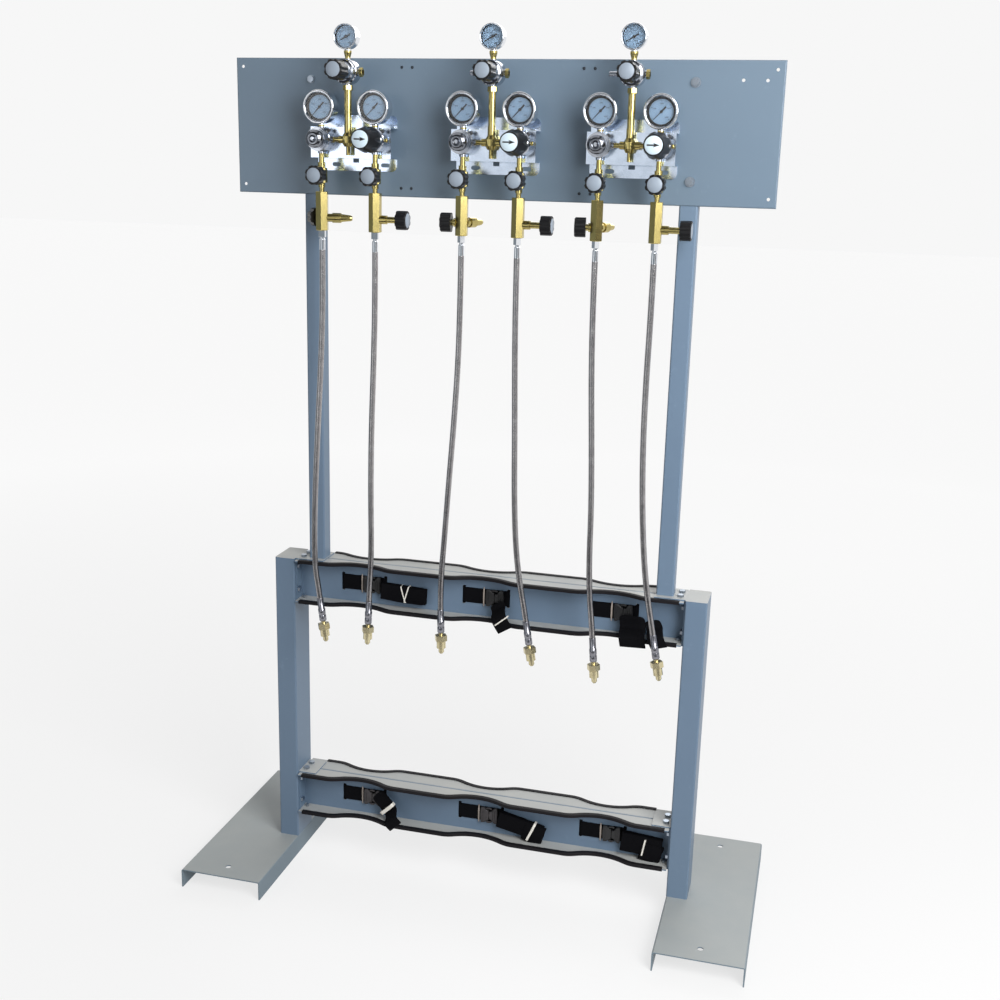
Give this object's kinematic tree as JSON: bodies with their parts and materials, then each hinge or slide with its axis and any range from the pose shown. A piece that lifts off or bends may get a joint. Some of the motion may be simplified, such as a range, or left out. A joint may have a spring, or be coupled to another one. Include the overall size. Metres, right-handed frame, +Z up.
{
  "type": "gas cylinder station",
  "caption": "Double-sided rack with scalloped rails and straps for gas cylinders, and changeover manifolds with gauges, knobs and braided hoses.",
  "frame": {"origin": "on the floor, under the middle of the frame", "axes": "+X to the right along the station, -Y the manifold side, +Z up"},
  "size_m": [1.372, 0.56, 2.0294],
  "materials": {
    "frame_paint": "blue-grey powder coat",
    "panel_paint": "blue-grey powder coat, smooth",
    "edge_rubber": "black edging",
    "zinc_steel": "zinc plated",
    "stainless": "brushed stainless",
    "brass": "turned brass",
    "chrome": "polished plating",
    "dial_face": "printed dial, blank of words",
    "lens_glass": "clear lens",
    "knob_plastic": "black moulded grip",
    "pointer_paint": "black",
    "hose_braid": "braided stainless over hose",
    "webbing": "black woven webbing",
    "buckle_plastic": "black moulded buckles, steel on the lower rail"
  },
  "bodies": {
    "station": {"left_foot": "frame_paint", "right_foot": "frame_paint", "left_short_post": "frame_paint", "right_short_post": "frame_paint", "left_tall_post": "frame_paint", "right_tall_post": "frame_paint", "upper_rail": "frame_paint", "lower_rail": "frame_paint", "edge_trim": "edge_rubber", "rail_brackets": "frame_paint", "hex_bolts": "zinc_steel", "back_panel": "panel_paint", "manifold_brackets": "stainless", "manifold_piping": "brass", "fixed_regulators": "chrome", "changeover_regulators": "chrome", "line_regulators": "chrome", "gauge_cases": "chrome", "gauge_dials": "dial_face", "gauge_lenses": "lens_glass", "inlet_valves": "brass", "inlet_blocks": "brass", "bleed_fittings": "brass", "hose_collars": "chrome", "hose_connectors": "brass", "cylinder_straps": "webbing", "strap_buckles": "buckle_plastic", "hose_1": "hose_braid", "hose_2": "hose_braid", "hose_3": "hose_braid", "hose_4": "hose_braid", "hose_5": "hose_braid", "hose_6": "hose_braid"},
    "line_regulator_knob_1": {"line_regulator_knob_1": "knob_plastic"},
    "changeover_knob_1": {"changeover_knob_1": "knob_plastic"},
    "line_gauge_pointer_1": {"line_gauge_pointer_1": "pointer_paint"},
    "line_regulator_knob_2": {"line_regulator_knob_2": "knob_plastic"},
    "changeover_knob_2": {"changeover_knob_2": "knob_plastic"},
    "line_gauge_pointer_2": {"line_gauge_pointer_2": "pointer_paint"},
    "line_regulator_knob_3": {"line_regulator_knob_3": "knob_plastic"},
    "changeover_knob_3": {"changeover_knob_3": "knob_plastic"},
    "line_gauge_pointer_3": {"line_gauge_pointer_3": "pointer_paint"},
    "inlet_valve_knob_1": {"inlet_valve_knob_1": "knob_plastic"},
    "bleed_knob_1": {"bleed_knob_1": "knob_plastic"},
    "inlet_gauge_pointer_1": {"inlet_gauge_pointer_1": "pointer_paint"},
    "inlet_valve_knob_2": {"inlet_valve_knob_2": "knob_plastic"},
    "bleed_knob_2": {"bleed_knob_2": "knob_plastic"},
    "inlet_gauge_pointer_2": {"inlet_gauge_pointer_2": "pointer_paint"},
    "inlet_valve_knob_3": {"inlet_valve_knob_3": "knob_plastic"},
    "bleed_knob_3": {"bleed_knob_3": "knob_plastic"},
    "inlet_gauge_pointer_3": {"inlet_gauge_pointer_3": "pointer_paint"},
    "inlet_valve_knob_4": {"inlet_valve_knob_4": "knob_plastic"},
    "bleed_knob_4": {"bleed_knob_4": "knob_plastic"},
    "inlet_gauge_pointer_4": {"inlet_gauge_pointer_4": "pointer_paint"},
    "inlet_valve_knob_5": {"inlet_valve_knob_5": "knob_plastic"},
    "bleed_knob_5": {"bleed_knob_5": "knob_plastic"},
    "inlet_gauge_pointer_5": {"inlet_gauge_pointer_5": "pointer_paint"},
    "inlet_valve_knob_6": {"inlet_valve_knob_6": "knob_plastic"},
    "bleed_knob_6": {"bleed_knob_6": "knob_plastic"},
    "inlet_gauge_pointer_6": {"inlet_gauge_pointer_6": "pointer_paint"}
  },
  "joints": [
    {"name": "line_knob_1_turn", "type": "hinge", "parent": "station", "child": "line_regulator_knob_1", "pos_m": [-0.318, -0.14, 1.931], "axis": [0, -1, 0], "range_deg": [-1080, 1080]},
    {"name": "changeover_1_turn", "type": "hinge", "parent": "station", "child": "changeover_knob_1", "pos_m": [-0.255, -0.14, 1.79], "axis": [0, -1, 0], "range_deg": [0, 180]},
    {"name": "line_gauge_1_needle", "type": "hinge", "parent": "station", "child": "line_gauge_pointer_1", "pos_m": [-0.318, -0.088, 2.003], "axis": [0, 1, 0], "range_deg": [0, 270], "stiffness_Nm_per_rad": 0.00002},
    {"name": "line_knob_2_turn", "type": "hinge", "parent": "station", "child": "line_regulator_knob_2", "pos_m": [0.008, -0.14, 1.931], "axis": [0, -1, 0], "range_deg": [-1080, 1080]},
    {"name": "changeover_2_turn", "type": "hinge", "parent": "station", "child": "changeover_knob_2", "pos_m": [0.071, -0.14, 1.79], "axis": [0, -1, 0], "range_deg": [0, 180]},
    {"name": "line_gauge_2_needle", "type": "hinge", "parent": "station", "child": "line_gauge_pointer_2", "pos_m": [0.008, -0.088, 2.003], "axis": [0, 1, 0], "range_deg": [0, 270], "stiffness_Nm_per_rad": 0.00002},
    {"name": "line_knob_3_turn", "type": "hinge", "parent": "station", "child": "line_regulator_knob_3", "pos_m": [0.306, -0.14, 1.931], "axis": [0, -1, 0], "range_deg": [-1080, 1080]},
    {"name": "changeover_3_turn", "type": "hinge", "parent": "station", "child": "changeover_knob_3", "pos_m": [0.369, -0.14, 1.79], "axis": [0, -1, 0], "range_deg": [0, 180]},
    {"name": "line_gauge_3_needle", "type": "hinge", "parent": "station", "child": "line_gauge_pointer_3", "pos_m": [0.306, -0.088, 2.003], "axis": [0, 1, 0], "range_deg": [0, 270], "stiffness_Nm_per_rad": 0.00002},
    {"name": "inlet_valve_1_turn", "type": "hinge", "parent": "station", "child": "inlet_valve_knob_1", "pos_m": [-0.381, -0.115, 1.713], "axis": [0, -1, 0], "range_deg": [0, 900]},
    {"name": "bleed_1_turn", "type": "hinge", "parent": "station", "child": "bleed_knob_1", "pos_m": [-0.39592, -0.06343, 1.621], "axis": [-0.6691, 0.7431, 0], "range_deg": [0, 1080]},
    {"name": "inlet_gauge_1_needle", "type": "hinge", "parent": "station", "child": "inlet_gauge_pointer_1", "pos_m": [-0.381, -0.088, 1.858], "axis": [0, 1, 0], "range_deg": [0, 270], "stiffness_Nm_per_rad": 0.00002},
    {"name": "inlet_valve_2_turn", "type": "hinge", "parent": "station", "child": "inlet_valve_knob_2", "pos_m": [-0.255, -0.115, 1.713], "axis": [0, -1, 0], "range_deg": [0, 900]},
    {"name": "bleed_2_turn", "type": "hinge", "parent": "station", "child": "bleed_knob_2", "pos_m": [-0.2027, -0.08, 1.621], "axis": [1, 0, 0], "range_deg": [0, 1080]},
    {"name": "inlet_gauge_2_needle", "type": "hinge", "parent": "station", "child": "inlet_gauge_pointer_2", "pos_m": [-0.255, -0.088, 1.858], "axis": [0, 1, 0], "range_deg": [0, 270], "stiffness_Nm_per_rad": 0.00002},
    {"name": "inlet_valve_3_turn", "type": "hinge", "parent": "station", "child": "inlet_valve_knob_3", "pos_m": [-0.055, -0.115, 1.713], "axis": [0, -1, 0], "range_deg": [0, 900]},
    {"name": "bleed_3_turn", "type": "hinge", "parent": "station", "child": "bleed_knob_3", "pos_m": [-0.07718, -0.08233, 1.621], "axis": [-0.9945, -0.1045, 0], "range_deg": [0, 1080]},
    {"name": "inlet_gauge_3_needle", "type": "hinge", "parent": "station", "child": "inlet_gauge_pointer_3", "pos_m": [-0.055, -0.088, 1.858], "axis": [0, 1, 0], "range_deg": [0, 270], "stiffness_Nm_per_rad": 0.00002},
    {"name": "inlet_valve_4_turn", "type": "hinge", "parent": "station", "child": "inlet_valve_knob_4", "pos_m": [0.071, -0.115, 1.713], "axis": [0, -1, 0], "range_deg": [0, 900]},
    {"name": "bleed_4_turn", "type": "hinge", "parent": "station", "child": "bleed_knob_4", "pos_m": [0.1233, -0.08, 1.621], "axis": [1, 0, 0], "range_deg": [0, 1080]},
    {"name": "inlet_gauge_4_needle", "type": "hinge", "parent": "station", "child": "inlet_gauge_pointer_4", "pos_m": [0.071, -0.088, 1.858], "axis": [0, 1, 0], "range_deg": [0, 270], "stiffness_Nm_per_rad": 0.00002},
    {"name": "inlet_valve_5_turn", "type": "hinge", "parent": "station", "child": "inlet_valve_knob_5", "pos_m": [0.243, -0.115, 1.713], "axis": [0, -1, 0], "range_deg": [0, 900]},
    {"name": "bleed_5_turn", "type": "hinge", "parent": "station", "child": "bleed_knob_5", "pos_m": [0.22097, -0.08349, 1.621], "axis": [-0.9877, -0.1564, 0], "range_deg": [0, 1080]},
    {"name": "inlet_gauge_5_needle", "type": "hinge", "parent": "station", "child": "inlet_gauge_pointer_5", "pos_m": [0.243, -0.088, 1.858], "axis": [0, 1, 0], "range_deg": [0, 270], "stiffness_Nm_per_rad": 0.00002},
    {"name": "inlet_valve_6_turn", "type": "hinge", "parent": "station", "child": "inlet_valve_knob_6", "pos_m": [0.369, -0.115, 1.713], "axis": [0, -1, 0], "range_deg": [0, 900]},
    {"name": "bleed_6_turn", "type": "hinge", "parent": "station", "child": "bleed_knob_6", "pos_m": [0.4213, -0.08, 1.621], "axis": [1, 0, 0], "range_deg": [0, 1080]},
    {"name": "inlet_gauge_6_needle", "type": "hinge", "parent": "station", "child": "inlet_gauge_pointer_6", "pos_m": [0.369, -0.088, 1.858], "axis": [0, 1, 0], "range_deg": [0, 270], "stiffness_Nm_per_rad": 0.00002}
  ]
}
